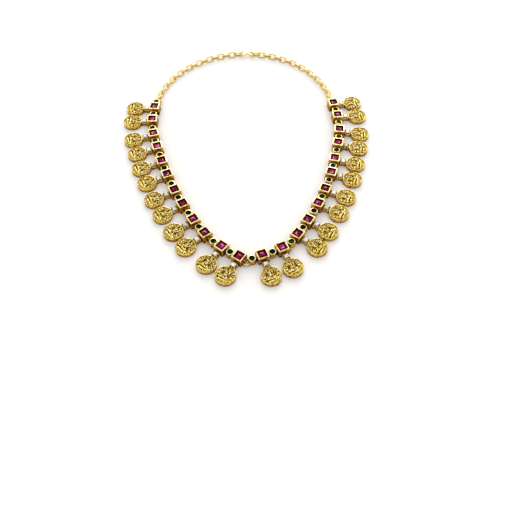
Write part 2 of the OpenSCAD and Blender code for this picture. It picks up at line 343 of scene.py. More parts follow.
def slotted_box():
    """The last box of a casting, with the slot in its end wall where the next eyelet swings in."""
    reach = EYE_BORE_R + EYE_BAND + PLAY
    whole = object_from("slotted", square_box())
    bpy.ops.mesh.primitive_cube_add(size=1)
    cutter = bpy.context.object
    cutter.scale = (BOX_W / 2, 2 * reach, BOX_HOLLOW_H - SLOT_Z)
    cutter.location = (BOX_W / 2, 0, (BOX_HOLLOW_H + SLOT_Z) / 2)
    cut = whole.modifiers.new("slot", "BOOLEAN")
    cut.operation = "DIFFERENCE"
    cut.solver = "EXACT"
    cut.object = cutter
    bpy.context.view_layer.update()
    mesh = whole.evaluated_get(bpy.context.evaluated_depsgraph_get()).to_mesh()
    points = np.array([v.co for v in mesh.vertices], float)
    faces = [tuple(p.vertices) for p in mesh.polygons]
    for thing in (whole, cutter):
        bpy.data.objects.remove(thing)
    # Painted shade: the wall darker toward its foot, and the stone's pocket darkest below the lip
    levels, shades = zip(*BOX_SHADES)
    wall_shade = np.interp(points[:, 2], [*levels, BOX_H - BOX_SOFT], [*shades, 0.0])
    near = 0.01
    inside = np.abs(points[:, :2]).max(1) < BOX_W / 2 - BOX_WALL + near
    below_lip = points[:, 2] < BOX_H - 0.15
    return points, faces, np.where(inside & below_lip, 1.0, wall_shade)


def round_cup():
    """A cup with a bevelled foot, whose wall leans over the stone's edge."""
    inner = CUP_R - CUP_WALL
    return round_loft([
        # radius, level, grime and painted shade, darkest on the inner wall and underneath, darker toward
        # the foot
        (ROUND_CAP, CUP_SEAT_Z, 1.0),
        (inner, CUP_SEAT_Z, 1.0),
        (inner, CUP_H - 0.2, 1.0),
        (inner - CUP_LIP, CUP_H - 0.08, 0.6),
        (inner - 0.5 * CUP_LIP, CUP_H, 0.0),
        (CUP_R - CUP_SOFT, CUP_H, 0.0),
        (CUP_R - 0.3 * CUP_SOFT, CUP_H - 0.3 * CUP_SOFT, 0.0),
        (CUP_R, CUP_H - CUP_SOFT, 0.15),
        (CUP_R, CUP_H - 0.7, 0.28),
        (CUP_R, 1.2, 0.4),
        (CUP_R - 0.1 * CUP_FOOT, CUP_FOOT, 0.7),
        (CUP_R - CUP_FOOT, 0.06, 1.0),
        (CUP_R - CUP_FOOT - 0.06, 0.0, 1.0),
        (ROUND_CAP, 0.0, 0.6),
    ], ROUND_SIDES)


def eyelet():
    """Flat ring on the first cup that turns round the hook of the link before."""
    low, high = EYE_Z, EYE_Z + EYE_H
    inner, outer = EYE_BORE_R, EYE_BORE_R + EYE_BAND
    edge = 0.3 * EYE_SOFT
    profile = [
        # radius, level, grime and painted shade, darker in the bore and underneath than on top
        (inner, low + EYE_SOFT, 0.8),
        (inner, high - EYE_SOFT, 0.7),
        (inner + edge, high - edge, 0.4),
        (inner + EYE_SOFT, high, 0.2),
        (outer - EYE_SOFT, high, 0.2),
        (outer - edge, high - edge, 0.1),
        (outer, high - EYE_SOFT, 0.2),
        (outer, low + EYE_SOFT, 0.5),
        (outer - edge, low + edge, 0.7),
        (outer - EYE_SOFT, low, 0.8),
        (inner + EYE_SOFT, low, 0.8),
        (inner + edge, low + edge, 0.8),
    ]
    return moved(turned_ring(profile, ROUND_SIDES), x=-EYE_AT)


def hinge_hook():
    """U-shaped hook that stands across the slot, with both ends run into the wall."""
    low_z = HOOK_R
    top_z = BOX_HOLLOW_H + HOOK_R
    start = BOX_W / 2 - HOOK_GRIP
    half_way = (start + HOOK_AT - HOOK_BEND) / 2
    quarter = [math.pi / 2 * k / HOOK_BEND_STEPS for k in range(HOOK_BEND_STEPS + 1)]
    path = [(start, 0, low_z), (half_way, 0, low_z)]
    for angle in quarter:
        path.append((HOOK_AT - HOOK_BEND + HOOK_BEND * math.sin(angle), 0,
                     low_z + HOOK_BEND * (1 - math.cos(angle))))
    for angle in quarter:
        path.append((HOOK_AT - HOOK_BEND + HOOK_BEND * math.cos(angle), 0,
                     top_z - HOOK_BEND + HOOK_BEND * math.sin(angle)))
    path += [(half_way, 0, top_z), (start, 0, top_z)]
    return tube(path, HOOK_R, HOOK_SIDES, HOOK_GRIME)


def claw(x, y):
    """A claw whose round tip leans over the stone."""
    reach = math.hypot(x, y)
    neck = CLAW_H - CLAW_TIP_H
    tip_steps = 4
    rows = [
        # level, share of the claw's radius, share of its lean, grime and painted shade, darker toward the
        # foot
        (0.0, 0.9, 0.0, 0.9),
        (0.08, 1.0, 0.0, 0.5),
        (1.5, 1.0, 0.0, 0.25),
        (neck - 0.4, 1.0, 0.1, 0.05),
        (neck, 1.0, 0.45, 0.0),
    ]
    for k in range(1, tip_steps + 1):
        angle = math.pi / 2 * k / (tip_steps + 0.4)
        rows.append((neck + (CLAW_H - neck) * math.sin(angle), math.cos(angle), 0.45 + 0.14 * k, 0.0))
    rings = []
    for z, share, tilt, _ in rows:
        pull = 1 - CLAW_LEAN * tilt / reach
        rings.append(circle(CLAW_R * share, z, CLAW_SIDES) + np.array([x * pull, y * pull, 0]))
    return loft(rings, [g for _, _, _, g in rows])


def claw_basket():
    """Gallery with two rails round a set-back wall, and four claws."""
    half = BASKET_W / 2
    panel = half - PANEL_INSET
    seat = WHITE_SEAT_Z
    block = square_loft([
        # half width, corner's radius, level, grime and painted shade, darker at the foot, on the set-back
        # wall and under the stone
        (SQUARE_CAP, BASKET_CORNER, 0.0, 0.9),
        (half - 0.05, BASKET_CORNER, 0.0, 0.9),
        (half, BASKET_CORNER, 0.05, 0.7),
        (half, BASKET_CORNER, 0.45, 0.4),
        (half - 0.05, BASKET_CORNER, 0.5, 0.5),
        (panel, BASKET_CORNER, 0.55, 0.5),
        (panel, BASKET_CORNER, 1.5, 0.32),
        (half - 0.04, BASKET_CORNER, 1.6, 0.2),
        (half, BASKET_CORNER, 1.66, 0.15),
        (half, BASKET_CORNER, seat - 0.05, 0.1),
        (half - 0.05, BASKET_CORNER, seat, 0.1),
        (half - 0.35, BASKET_CORNER, seat, 0.5),
        (SQUARE_CAP, BASKET_CORNER, seat - 0.02, 0.8),
    ])
    claws = [claw(x, y) for x in (-CLAW_AT, CLAW_AT) for y in (-CLAW_AT, CLAW_AT)]
    return moved(join(block, *claws), y=-BASKET_AT)


def stem():
    """Short bar that holds basket and coin on their box."""
    start = BOX_W / 2 - SINK
    stop = COIN_AT - COIN_R + SINK
    return moved(bar(start, stop, STEM_W, STEM_LOW, STEM_HIGH, STEM_GRIME), turn=-90)


# The coin's cast picture: a crowned goddess seated on a lotus between two elephants, under rays.
# Places and sizes are shares of the field's radius, and tops are shares of the relief. A row whose side is
# both is made on the left and the right.

DOMES = [
    # side, x, y, radius across, radius up, lean, top
    ("one", -0.02, 0.29, 0.1, 0.13, 0, 1.0),
    ("one", -0.02, 0.45, 0.1, 0.08, 0, 0.85),
    ("one", -0.02, 0.55, 0.06, 0.09, 0, 0.8),
    ("one", -0.04, 0.04, 0.14, 0.17, 0, 0.8),
    ("one", -0.1, 0.08, 0.07, 0.06, 0, 1.0),
    ("one", 0.06, 0.08, 0.07, 0.06, 0, 0.9),
    ("one", 0.26, 0.42, 0.09, 0.09, -25, 0.85),
    ("one", -0.21, 0.52, 0.08, 0.08, 25, 0.95),
    ("both", 0.31, -0.24, 0.19, 0.1, -8, 0.95),
    ("one", -0.08, -0.25, 0.13, 0.09, 8, 1.0),
    ("one", 0.1, -0.32, 0.12, 0.07, -8, 0.9),
    ("both", 0.72, 0.0, 0.15, 0.12, 0, 1.0),
    ("both", 0.6, 0.1, 0.1, 0.08, 0, 0.8),
    ("both", 0.73, 0.29, 0.14, 0.09, 10, 0.95),
]
STROKES = [
    # side, radius, top, then the points that it runs through
    ("one", 0.055, 1.0, [(-0.13, 0.12), (-0.19, 0.2), (-0.17, 0.5)]),
    ("one", 0.055, 0.8, [(0.08, 0.12), (0.2, 0.16), (0.26, 0.34)]),
    ("one", 0.05, 0.7, [(0.12, 0.02), (0.2, -0.06), (0.17, -0.16)]),
    ("one", 0.05, 0.8, [(-0.2, 0.02), (-0.28, -0.06), (-0.22, -0.14)]),
    ("one", 0.08, 0.65, [(-0.6, -0.33), (0.2, -0.36), (0.5, -0.42), (0.66, -0.4)]),
    ("both", 0.045, 0.85, [(0.56, 0.2), (0.5, 0.3), (0.54, 0.42)]),
    ("both", 0.05, 0.7, [(0.62, -0.08), (0.6, -0.24)]),
    ("both", 0.05, 0.7, [(0.8, -0.08), (0.78, -0.24)]),
    ("one", 0.09, 0.6, [(-0.42, -0.62), (0.0, -0.62), (0.4, -0.55), (0.6, -0.5)]),
    ("one", 0.035, 0.95, [(-0.13, 0.39), (0.1, 0.39)]),
]
PITS = [
    # x, y, radius across, radius up, lean, depth
    (-0.3, -0.49, 0.17, 0.075, 0, 1.0),
    (0.02, -0.48, 0.2, 0.06, -4, 0.75),
    (-0.63, -0.53, 0.13, 0.1, 0, 1.0),
    (0.46, -0.51, 0.14, 0.04, 12, 0.5),
    (0.68, -0.56, 0.1, 0.06, 30, 0.5),
    (-0.15, 0.79, 0.075, 0.18, 12, 1.0),
    (0.25, 0.82, 0.06, 0.11, -10, 0.8),
    (0.41, 0.56, 0.08, 0.08, 0, 0.85),
    (-0.31, 0.38, 0.055, 0.15, 8, 0.8),
    (-0.44, 0.22, 0.06, 0.2, 24, 0.8),
    (-0.5, 0.66, 0.1, 0.06, 40, 0.6),
    (0.36, 0.0, 0.13, 0.09, 30, 1.0),
    (0.02, -0.1, 0.05, 0.14, 8, 0.85),
    (0.1, 0.36, 0.05, 0.12, 0, 0.6),
    (0.72, 0.15, 0.14, 0.045, 8, 0.6),
    (-0.72, 0.14, 0.12, 0.045, -8, 0.6),
    (-0.76, -0.18, 0.1, 0.06, 0, 0.7),
    (0.08, -0.8, 0.08, 0.06, 0, 0.8),
    (-0.22, -0.8, 0.08, 0.05, 0, 0.7),
    (0.4, -0.7, 0.08, 0.06, 0, 0.6),
]
RAYS = [
    # way from the right, foot, tip
    (38, 0.66, 0.93), (50, 0.6, 0.93), (63, 0.42, 0.92), (75, 0.66, 0.93), (86, 0.62, 0.93),
    (108, 0.72, 0.93), (117, 0.52, 0.92), (131, 0.5, 0.9), (144, 0.56, 0.92), (156, 0.66, 0.93),
]
RAY_R = 0.055
RAY_TOP = 0.85

# Halo: the upper part of a ring round the head
HALO_Y = 0.36
HALO_R = 0.25
HALO_BAND_R = 0.035
HALO_TOP = 0.5
HALO_FROM = 0.3
HALO_FADE = 0.1

# A row of petals under the seat, and beads along the field's lower edge
PETALS = 5
PETAL_STEP = 0.15
PETAL_Y = -0.76
PETAL_CURVE = 0.02
PETAL_R = 0.08
PETAL_TOP = 0.85
BEADS = 11
BEAD_STEP = 13
BEAD_REACH = 0.86
BEAD_R = 0.08
BEAD_TOP = 0.6


def dome(x, y, at_x, at_y, across, up, lean, top):
    """Height of a half ellipsoid."""
    c, s = math.cos(math.radians(lean)), math.sin(math.radians(lean))
    dx, dy = x - at_x, y - at_y
    reach = ((dx * c + dy * s) / across) ** 2 + ((dy * c - dx * s) / up) ** 2
    return top * np.sqrt(np.clip(1 - reach, 0, None))


def stroke(x, y, points, radius, top):
    """Height of a round rod that runs through points."""
    nearest = np.full(x.shape, np.inf)
    for (ax, ay), (bx, by) in zip(points, points[1:]):
        wx, wy = bx - ax, by - ay
        share = np.clip(((x - ax) * wx + (y - ay) * wy) / (wx * wx + wy * wy), 0, 1)
        nearest = np.minimum(nearest, np.hypot(x - ax - share * wx, y - ay - share * wy))
    return top * np.sqrt(np.clip(1 - (nearest / radius) ** 2, 0, None))


def halo(x, y):
    """Height of the ring round the head."""
    away = np.abs(np.hypot(x, y - HALO_Y) - HALO_R)
    above = np.clip((y - HALO_FROM) / HALO_FADE, 0, 1)
    return HALO_TOP * above * np.sqrt(np.clip(1 - (away / HALO_BAND_R) ** 2, 0, None))


def signs_of(side):
    """The sides on which a row is made, as signs of x."""
    return (1, -1) if side == "both" else (1,)


def relief(x, y):
    """Height of the picture over the field, as a share of the relief."""
    forms = [np.zeros(x.shape), halo(x, y)]
    for side, at_x, at_y, across, up, lean, top in DOMES:
        for sign in signs_of(side):
            forms.append(dome(x, y, sign * at_x, at_y, across, up, sign * lean, top))
    for side, radius, top, points in STROKES:
        for sign in signs_of(side):
            forms.append(stroke(x, y, [(sign * px, py) for px, py in points], radius, top))
    for way, foot, tip in RAYS:
        c, s = math.cos(math.radians(way)), math.sin(math.radians(way))
        forms.append(stroke(x, y, [(foot * c, foot * s), (tip * c, tip * s)], RAY_R, RAY_TOP))
    for k in range(PETALS):
        step = k - (PETALS - 1) / 2
        at_y = PETAL_Y + PETAL_CURVE * step * step
        forms.append(dome(x, y, PETAL_STEP * step, at_y, PETAL_R, PETAL_R, 0, PETAL_TOP))
    for k in range(BEADS):
        angle = math.radians(270 + BEAD_STEP * (k - (BEADS - 1) / 2))
        at_x, at_y = BEAD_REACH * math.cos(angle), BEAD_REACH * math.sin(angle)
        forms.append(dome(x, y, at_x, at_y, BEAD_R, BEAD_R, 0, BEAD_TOP))
    return np.max(forms, axis=0)


def pits(x, y):
    """Depth of the darkest hollows, from 0 to 1."""
    return np.max([dome(x, y, *row) for row in PITS], axis=0)


def blurred(grid, times):
    """The grid with each value spread over its neighbours, several times."""
    for _ in range(times):
        wide = np.pad(grid, 1, mode="edge")
        grid = (wide[1:-1, 1:-1] * 2 + wide[:-2, 1:-1] + wide[2:, 1:-1]
                + wide[1:-1, :-2] + wide[1:-1, 2:]) / 6
    return grid


def disc_grid(steps):
    """A square grid of points drawn out so that it fills a disc of radius 1."""
    line = np.linspace(-1, 1, steps + 1)
    a, b = np.meshgrid(line, line, indexing="ij")
    wide = np.abs(a) >= np.abs(b)
    big = np.where(wide, a, b)
    small = np.where(wide, b, a)
    ratio = np.divide(small, big, out=np.zeros_like(big), where=big != 0)
    angle = math.pi / 4 * ratio
    along, side = big * np.cos(angle), big * np.sin(angle)
    return np.where(wide, along, side), np.where(wide, side, along)


def field_grime(x, y, height, pit):
    """How brown the coin's field is."""
    hollow = np.clip((blurred(height, HOLLOW_SPREAD) - height) * HOLLOW_GAIN, 0, HOLLOW_MOST)
    floor = np.clip(1 - height * FLOOR_GAIN, 0, 1)
    outer = np.clip((np.hypot(x, y) - OUTER_FROM) / OUTER_W, 0, 1)
    in_hollow = (1 - OUTER_HOLLOW_LESS * outer) * hollow
    on_floor = (FLOOR_GRIME - OUTER_FLOOR_LESS * outer) * floor
    return np.clip(FIELD_GRIME + in_hollow + on_floor + PIT_GRIME * pit, 0, 1)


def coin():
    """A thick coin: its picture on a grid that fills the disc, and its rim, wall and back in rings."""
    x, y = disc_grid(RELIEF_STEPS)
    pit = pits(x, y)
    edge = np.clip((1 - np.hypot(x, y)) / RELIEF_FADE, 0, 1)
    height = (relief(x, y) - PIT_DEPTH * pit) * edge
    points = np.stack([FIELD_R * x, FIELD_R * y, FIELD_Z + RELIEF_H * height], 2).reshape(-1, 3)
    index = np.arange(x.size).reshape(x.shape)
    faces = [(index[i, j], index[i + 1, j], index[i + 1, j + 1], index[i, j + 1])
             for i in range(RELIEF_STEPS) for j in range(RELIEF_STEPS)]
    border = np.concatenate([index[:-1, 0], index[-1, :-1], index[:0:-1, -1], index[0, :0:-1]])
    way = points[border, :2] / np.linalg.norm(points[border, :2], axis=1)[:, None]
    rows = [
        # radius, level, grime and painted shade: the wall darker toward the foot and the back darkest
        (FIELD_R + 0.02, FIELD_Z + 0.1, 0.4),
        (FIELD_R + 0.03, COIN_T - 0.5 * COIN_SOFT, 0.1),
        (FIELD_R + 0.5 * COIN_SOFT, COIN_T, 0.42),
        (COIN_R - 2.5 * COIN_SOFT, COIN_T, 0.36),
        (COIN_R - COIN_SOFT, COIN_T, 0.0),
        (COIN_R - 0.3 * COIN_SOFT, COIN_T - 0.3 * COIN_SOFT, 0.0),
        (COIN_R, COIN_T - COIN_SOFT, 0.2),
        (COIN_R, 1.7, 0.3),
        (COIN_R, 0.7, 0.44),
        (COIN_R, 0.15, 0.9),
        (COIN_R - 0.15, 0.0, 1.0),
    ]
    rings = [np.column_stack([way * r, np.full(len(way), z)]) for r, z, _ in rows]
    size = len(way)
    before = list(border)
    for k in range(len(rows)):
        first = len(points) + k * size
        now = list(range(first, first + size))
        for m in range(size):
            after = (m + 1) % size
            faces.append((before[m], now[m], now[after], before[after]))
        before = now
    faces.append(tuple(before[::-1]))
    faces = [tuple(int(k) for k in face) for face in faces]
    ring_grime_and_shade = np.repeat([g for _, _, g in rows], size)
    grime_and_shade = np.concatenate([field_grime(x, y, height, pit).ravel(), ring_grime_and_shade])
    return np.vstack([points, *rings]), faces, grime_and_shade


def mesh_from(name, shell, scale):
    """A mesh with smooth faces, sharp edges where it bends hard, and its grime and painted shade as an
    attribute.
    """
    points, faces, grime_and_shade = shell
    mesh = bpy.data.meshes.new(name)
    mesh.from_pydata((points * scale).tolist(), [], faces)
    mesh.validate()
    mesh.update()
    mesh.shade_smooth()
    mesh.set_sharp_from_angle(angle=math.radians(EDGE_ANGLE))
    layer = mesh.attributes.new("grime_and_shade", "FLOAT", "POINT")
    layer.data.foreach_set("value", grime_and_shade.astype(np.float32))
    return mesh


def object_from(name, shell, scale=1.0):
    """An object of a shell, in the shell's own units or scaled."""
    thing = bpy.data.objects.new(name, mesh_from(name, shell, scale))
    bpy.context.scene.collection.objects.link(thing)
    return thing


# Places, read from the frame


def aim(heading):
    """A step of length 1 in the way of the heading."""
    return np.array([math.cos(math.radians(heading)), math.sin(math.radians(heading))])


def points_of(node):
    """Points of a node's mesh, seen from above."""
    return np.array([v.co for v in node.data.vertices], float)[:, :2]


def ruby_place(points, ahead):
    """Middle of a square stone and the heading of its side that is nearest to the way ahead."""
    middle = (points.min(0) + points.max(0)) / 2
    out = points - middle
    corner = out[np.argmax(np.linalg.norm(out, axis=1))]
    heading = math.degrees(math.atan2(corner[1], corner[0])) - 45
    heading += 90 * round((ahead - heading) / 90)
    return middle / MM, heading


def link_places(frame):
    """For each link the middle and heading of its four stations: cup, box, cup, box."""
    _, turn_a, turn_middle, turn_b = STATION_TURNS
    found = []
    for i in range(LINKS):
        first = points_of(frame["nodes"][f"ruby_{2 * i + 1:02d}"])
        second = points_of(frame["nodes"][f"ruby_{2 * i + 2:02d}"])
        chord = (second.min(0) + second.max(0) - first.min(0) - first.max(0)) / 2
        ahead = math.degrees(math.atan2(chord[1], chord[0]))
        box_a, head_a = ruby_place(first, ahead)
        box_b, head_b = ruby_place(second, ahead)
        bend = (head_b - head_a) / (turn_b - turn_a)
        start = head_a - turn_a * bend
        middle = start + turn_middle * bend
        # Two equal steps lead from box to box, and the way turns by half the bend between them
        pitch = np.linalg.norm(box_b - box_a) / (2 * math.cos(math.radians(bend / 4)))
        cup_a = box_a - pitch * aim(start)
        cup_b = box_a + pitch * aim(middle)
        found.append([(cup_a, start), (box_a, head_a), (cup_b, middle), (box_b, head_b)])
    return found


def at_place(shell, place):
    """The shell at a station."""
    (x, y), heading = place
    return moved(shell, x=x, y=y, turn=heading)


def bridges(places):
    """Solder between the four stations, low between their rims."""
    made = []
    for k in range(3):
        (a, _), (b, _) = places[k], places[k + 1]
        way = b - a
        reach = np.linalg.norm(way)
        start, stop = (CUP_R, reach - BOX_W / 2) if k in CUP_STATIONS else (BOX_W / 2, reach - CUP_R)
        turn = math.degrees(math.atan2(way[1], way[0]))
        # Painted shade: the solder is as dark as the deepest hollows
        solder = bar(start - SINK, stop + SINK, BRIDGE_W, BRIDGE_LOW, BRIDGE_HIGH, BRIDGE_SHADE)
        made.append(moved(solder, x=a[0], y=a[1], turn=turn))
    return made


# Cut stones. The same attribute carries each facet's tone there, from 0 deep to 1 bright: painted shade
# and reflections that stand for the light inside the stone and the shade of its setting.

RUBY_SEED = 7
ROUND_SEED = 12

# Each ruby as a whole is darker or lighter by up to this much, and two sides of one step get a painted
# highlight
RUBY_LIGHT = (-0.2, 0.1)
GLINT_ROW = 6
GLINT = 0.45

# Ranges of a round stone's two painted tones, for shade and reflections inside the stone: most of its
# facets come near the first, and few near the second
EMERALD_RANGES = ((0.0, 0.05), (0.1, 1.05))
WHITE_RANGES = ((0.95, 1.0), (-0.6, 0.9))


def faceted(points, faces, tones):
    """A shell with every face on corners of its own, so that each has one tone."""
    found, made, tone = [], [], []
    for face, value in zip(faces, tones):
        made.append(tuple(range(len(found), len(found) + len(face))))
        found += [points[k] for k in face]
        tone += [value] * len(face)
    return np.array(found, float), made, np.array(tone, float)


def square_stone(draw):
    """Step-cut square stone: a flat table inside two steps; the steps of its back are painted on the table
    as rings.
    """
    half = BOX_W / 2 - BOX_WALL - STONE_GAP
    rows = [
        # level, share of the half width, painted tone, spread of the tone: outer steps deep as shade,
        # table rings as reflections
        (0.0, 0.3, 0.0, 0.0),
        (0.55, 1.0, 0.0, 0.0),
        (0.65, 1.0, 0.05, 0.08),
        (0.84, 0.82, 0.16, 0.14),
        (0.95, 0.66, 0.36, 0.2),
        (1.0, 0.54, 0.36, 0.2),
        (1.0, 0.36, 0.5, 0.2),
        (1.0, 0.22, 0.25, 0.25),
        (1.0, 0.12, 0.35, 0.35),
    ]
    points = []
    for level, share, _, _ in rows:
        for sx, sy in ((1, 1), (-1, 1), (-1, -1), (1, -1)):
            points.append((sx * half * share, sy * half * share, level * RUBY_H))
    points.append((0, 0, RUBY_H))
    light = draw.uniform(*RUBY_LIGHT)
    side = draw.integers(4)
    lit_sides = (side, (side + 1) % 4)
    faces = [(3, 2, 1, 0)]
    tones = [0.0]
    for r, (_, _, tone, spread) in enumerate(rows[:-1]):
        for k in range(4):
            m = (k + 1) % 4
            faces.append((4 * r + k, 4 * r + m, 4 * r + 4 + m, 4 * r + 4 + k))
            # A painted highlight on two sides of one ring of the table
            glint = GLINT if r == GLINT_ROW and k in lit_sides else 0.0
            tones.append(tone + light + draw.uniform(-spread, spread) + glint)
    last = 4 * (len(rows) - 1)
    _, _, tone, spread = rows[-1]
    for k in range(4):
        faces.append((last + k, last + (k + 1) % 4, len(points) - 1))
        tones.append(tone + light + draw.uniform(-spread, spread))
    return faceted(points, faces, np.clip(tones, 0, 1))


def round_stone(radius, height, draw, usual_tone, rare_tone):
    """Round brilliant: flat eight-sided table, star, kite and girdle facets, and a pointed pavilion."""
    girdle_z = 0.56 * height
    rows = [
        # share of the radius, level, corners, turn in steps from corner to corner
        (1.0, girdle_z, 16, 0.0),
        (1.0, girdle_z + 0.05 * height, 16, 0.0),
        (0.8, 0.86 * height, 8, 0.5),
        (0.58, height, 8, 0.0),
    ]
    points = [(0, 0, 0)]
    firsts = []
    for share, z, corners, turn in rows:
        firsts.append(len(points))
        for k in range(corners):
            angle = 2 * math.pi * (k + turn) / corners
            points.append((radius * share * math.cos(angle), radius * share * math.sin(angle), z))
    low, high, kite, table = firsts
    faces = []
    for k in range(16):
        m = (k + 1) % 16
        faces.append((0, low + m, low + k))
        faces.append((low + k, low + m, high + m, high + k))
    for k in range(8):
        m = (k + 1) % 8
        faces.append((table + k, kite + k, table + m))
        faces.append((high + 2 * k, high + 2 * k + 1, kite + k))
        faces.append((high + 2 * k + 1, high + (2 * k + 2) % 16, kite + k))
        before = (k - 1) % 8
        faces.append((table + k, kite + before, high + 2 * k, kite + k))
    middle = len(points)
    points.append((0, 0, height))
    for k in range(8):
        faces.append((table + k, table + (k + 1) % 8, middle))
    # Facets get painted tones for shade and reflection, squared so that few facets come near the rare tone
    shares = draw.uniform(0, 1, len(faces)) ** 2
    return faceted(points, faces, usual_tone + (rare_tone - usual_tone) * shares)


# Materials. Scales of noise are in steps per metre.

NOISE_DETAIL = 3.0
BLOTCH_SCALE = 900.0
BLOTCH_FROM = 0.45
BLOTCH_GAIN = 2.0
GRAIN_SCALE = 2500.0
DENT_SCALE = 3500.0
DENT_DEPTH = 0.05
DENT_STRENGTH = 0.12
CLOUD_SCALE = 700.0
CLOUD_FROM = 0.45
CLOUD_GAIN = 0.25
CHAIN_SCALE = 700.0
TABLE_SCALE = 40.0

# Roughness, and what grain and grime add to it
GOLD_ROUGH = 0.17
GOLD_GRAIN = 0.14
GOLD_GRIME = 0.3
CHAIN_ROUGH = 0.14
CHAIN_GRAIN = 0.16
STONE_ROUGH = 0.06
TABLE_ROUGH = 0.75

# Colours as (position, colour): from polished to brown on antiqued gold, partly patina and partly painted
# shade, with a lighter, redder ramp for upright faces as painted reflection and shade; from pale to deep
# on the chain;
# and from deep to bright in the stones, as painted shade and reflections
LEVEL_GOLD = [
    (0.0, (0.86, 0.76, 0.5)), (0.15, (0.72, 0.6, 0.17)), (0.35, (0.53, 0.385, 0.02)),
    (0.5, (0.35, 0.22, 0.005)), (0.65, (0.2, 0.095, 0.003)), (0.85, (0.1, 0.03, 0.004)),
    (1.0, (0.035, 0.004, 0.002)),
]
UPRIGHT_GOLD = [
    (0.0, (0.88, 0.76, 0.44)), (0.2, (0.75, 0.6, 0.19)), (0.4, (0.63, 0.38, 0.06)),
    (0.6, (0.46, 0.175, 0.015)), (0.85, (0.15, 0.018, 0.003)), (1.0, (0.045, 0.004, 0.001)),
]
GRAZING_GOLD = (1.0, 0.9, 0.55)
CHAIN_GOLD = [(0.3, (0.93, 0.72, 0.27)), (0.75, (0.7, 0.44, 0.1))]
RUBY_TONES = [
    (0.0, (0.045, 0.0002, 0.003)), (0.25, (0.1, 0.0006, 0.016)), (0.5, (0.25, 0.002, 0.085)),
    (0.75, (0.46, 0.03, 0.19)), (1.0, (0.85, 0.5, 0.66)),
]
EMERALD_TONES = [
    (0.0, (0.0006, 0.0025, 0.0012)), (0.5, (0.002, 0.02, 0.006)), (1.0, (0.02, 0.24, 0.08)),
]
WHITE_TONES = [
    (0.0, (0.14, 0.12, 0.09)), (0.5, (0.5, 0.46, 0.4)), (1.0, (0.96, 0.96, 0.95)),
]
TABLE_TONES = [(0.3, (0.86, 0.85, 0.83)), (0.7, (0.88, 0.87, 0.85))]


def new_material(name):
    """A material with its node tree and its shader."""
    material = bpy.data.materials.new(name)
    material.use_nodes = True
    tree = material.node_tree
    return material, tree, tree.nodes["Principled BSDF"]


def noise(tree, scale):
    """Noise that stays with the object."""
    where = tree.nodes.new("ShaderNodeTexCoord")
    made = tree.nodes.new("ShaderNodeTexNoise")
    made.inputs["Scale"].default_value = scale
    made.inputs["Detail"].default_value = NOISE_DETAIL
    tree.links.new(where.outputs["Object"], made.inputs["Vector"])
    return made.outputs["Fac"]


def ramp(tree, value, stops):
    """Colour by value, through stops in rising order."""
    made = tree.nodes.new("ShaderNodeValToRGB")
    parts = made.color_ramp.elements
    parts[0].position = stops[0][0]
    parts[-1].position = stops[-1][0]
    for at, _ in stops[1:-1]:
        parts.new(at)
    for part, (_, colour) in zip(parts, stops):
        part.color = (*colour, 1)
    tree.links.new(value, made.inputs["Fac"])
    return made.outputs["Color"]


def grime_and_shade_of(tree):
    """The mesh's grime and painted shade, or a stone's painted tone."""
    made = tree.nodes.new("ShaderNodeAttribute")
    made.attribute_name = "grime_and_shade"
    return made.outputs["Fac"]


def feed(tree, socket, value):
    """Gives a socket a number or another socket's output."""
    if isinstance(value, (int, float)):
        socket.default_value = value
    else:
        tree.links.new(value, socket)


def maths(tree, kind, *values):
    """A sum on numbers or sockets, kept between 0 and 1."""
    made = tree.nodes.new("ShaderNodeMath")
    made.operation = kind
    made.use_clamp = True
    for socket, value in zip(made.inputs, values):
        feed(tree, socket, value)
    return made.outputs[0]


def level_of(tree):
    """From 0 on upright walls to 1 on level faces."""
    here = tree.nodes.new("ShaderNodeNewGeometry")
    split = tree.nodes.new("ShaderNodeSeparateXYZ")
    tree.links.new(here.outputs["Normal"], split.inputs[0])
    return maths(tree, "ABSOLUTE", split.outputs["Z"])


def gold():
    """Bright gilding, polished on what stands out and brown in what lies deep, partly patina and partly
    painted shade.
    """
    material, tree, surface = new_material("antiqued_gold")
    blotch = maths(tree, "SUBTRACT", noise(tree, BLOTCH_SCALE), BLOTCH_FROM)
    depth = maths(tree, "ADD", grime_and_shade_of(tree), maths(tree, "MULTIPLY", blotch, BLOTCH_GAIN))
    colour = tree.nodes.new("ShaderNodeMix")
    colour.data_type = "RGBA"
    # Upright faces take their own ramp, lighter and redder than level ones: painted reflection and shade
    # on walls
    tree.links.new(level_of(tree), colour.inputs["Factor"])
    tree.links.new(ramp(tree, depth, UPRIGHT_GOLD), colour.inputs["A"])
    tree.links.new(ramp(tree, depth, LEVEL_GOLD), colour.inputs["B"])
    tree.links.new(colour.outputs["Result"], surface.inputs["Base Color"])
    surface.inputs["Metallic"].default_value = 1.0
    surface.inputs["Specular Tint"].default_value = (*GRAZING_GOLD, 1)
    grain = maths(tree, "MULTIPLY", noise(tree, GRAIN_SCALE), GOLD_GRAIN)
    rough = maths(tree, "ADD", grain, maths(tree, "MULTIPLY", depth, GOLD_GRIME))
    tree.links.new(maths(tree, "ADD", rough, GOLD_ROUGH), surface.inputs["Roughness"])
    dents = tree.nodes.new("ShaderNodeBump")
    dents.inputs["Strength"].default_value = DENT_STRENGTH
    dents.inputs["Distance"].default_value = DENT_DEPTH * MM
    tree.links.new(noise(tree, DENT_SCALE), dents.inputs["Height"])
    tree.links.new(dents.outputs["Normal"], surface.inputs["Normal"])
    return material


